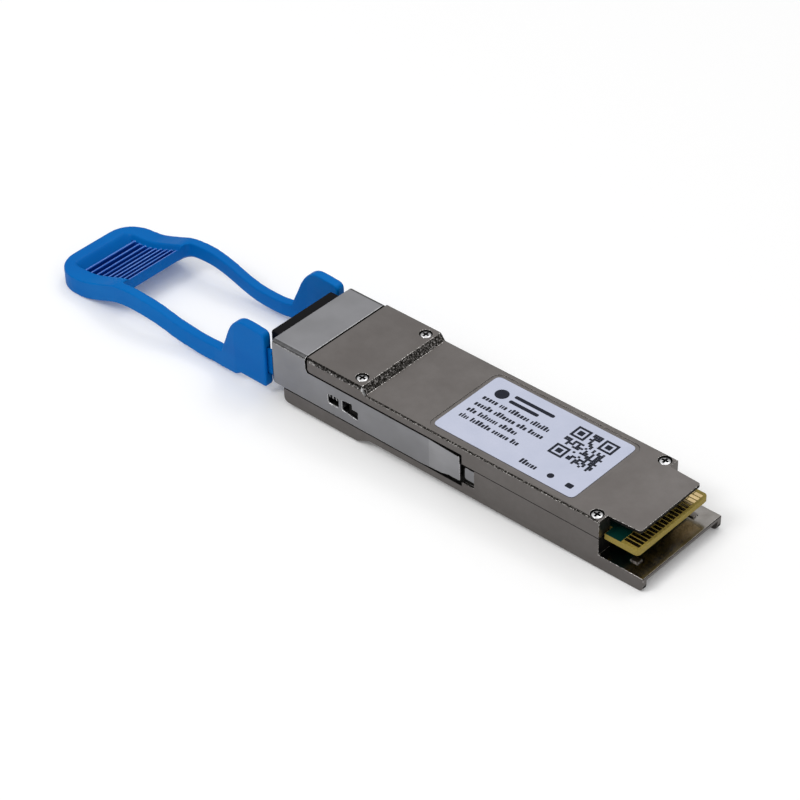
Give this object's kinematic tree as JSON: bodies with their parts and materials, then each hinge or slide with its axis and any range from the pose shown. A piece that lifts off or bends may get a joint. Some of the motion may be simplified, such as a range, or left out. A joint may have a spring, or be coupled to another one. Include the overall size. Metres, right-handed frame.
{
  "type": "optical transceiver module",
  "caption": "Pluggable optical transceiver with a duplex fibre receptacle, die-cast shells, card-edge board and a sprung pull-tab latch slider.",
  "frame": {"origin": "on the flat heat-sink face, on the centre line, 42 mm behind the front edge of the latch slider", "axes": "+X along the module towards the card edge, +Y across it, +Z from the heat-sink face to the label face"},
  "size_m": [0.1244, 0.0188, 0.0132],
  "materials": {
    "cast_metal": "nickel-plated zinc die casting, satin, rougher on its chamfers",
    "sheet_steel": "satin stainless sheet",
    "label_stock": "pale satin polyester label with dark print",
    "screw_steel": "bright plated steel",
    "conductive_rubber": "matte conductive elastomer",
    "black_plastic": "matte black moulded plastic",
    "turned_steel": "fine turned stainless steel",
    "zirconia": "polished white ceramic",
    "gold_plate": "gold-plated metal package",
    "thermal_pad": "soft matte gap filler",
    "polyimide": "amber flexible film",
    "board_laminate": "dark green solder mask over glass laminate",
    "chip_package": "matte moulded epoxy",
    "ferrite": "moulded ferrite powder",
    "capacitor_ceramic": "tan sintered ceramic",
    "spring_steel": "drawn spring wire",
    "blue_plastic": "satin blue moulded plastic"
  },
  "bodies": {
    "module": {"base_shell": "cast_metal", "cover_shell": "cast_metal", "label": "label_stock", "cover_screw_front_right": "screw_steel", "cover_screw_front_left": "screw_steel", "cover_screw_rear_right": "screw_steel", "cover_screw_rear_left": "screw_steel", "emi_gasket_right": "conductive_rubber", "emi_gasket_left": "conductive_rubber", "lc_receptacle": "black_plastic", "transmit_barrel": "turned_steel", "receive_barrel": "turned_steel", "transmit_fibre_stub": "zirconia", "receive_fibre_stub": "zirconia", "barrel_clamp": "sheet_steel", "transmitter_package": "gold_plate", "receiver_package": "gold_plate", "transmitter_thermal_pad": "thermal_pad", "receiver_thermal_pad": "thermal_pad", "transmit_flex_circuit": "polyimide", "receive_flex_circuit": "polyimide", "circuit_board": "board_laminate", "retimer_chip": "chip_package", "laser_driver_chip": "chip_package", "receiver_amplifier": "chip_package", "microcontroller": "chip_package", "cooler_controller": "chip_package", "clock_oscillator": "turned_steel", "power_inductor_1": "ferrite", "power_inductor_2": "ferrite", "capacitor_1": "capacitor_ceramic", "capacitor_2": "capacitor_ceramic", "capacitor_3": "capacitor_ceramic", "retimer_thermal_pad": "thermal_pad", "return_spring_right": "spring_steel", "return_spring_left": "spring_steel"},
    "latch": {"latch_slider": "sheet_steel", "pull_tab": "blue_plastic"}
  },
  "joints": [
    {"name": "latch_slide", "type": "slide", "parent": "module", "child": "latch", "axis": [-1, 0, 0], "range_m": [0, 0.002], "stiffness_N_per_m": 600, "springref_m": -0.0015, "deforming": ["return_spring_right", "return_spring_left"]}
  ]
}
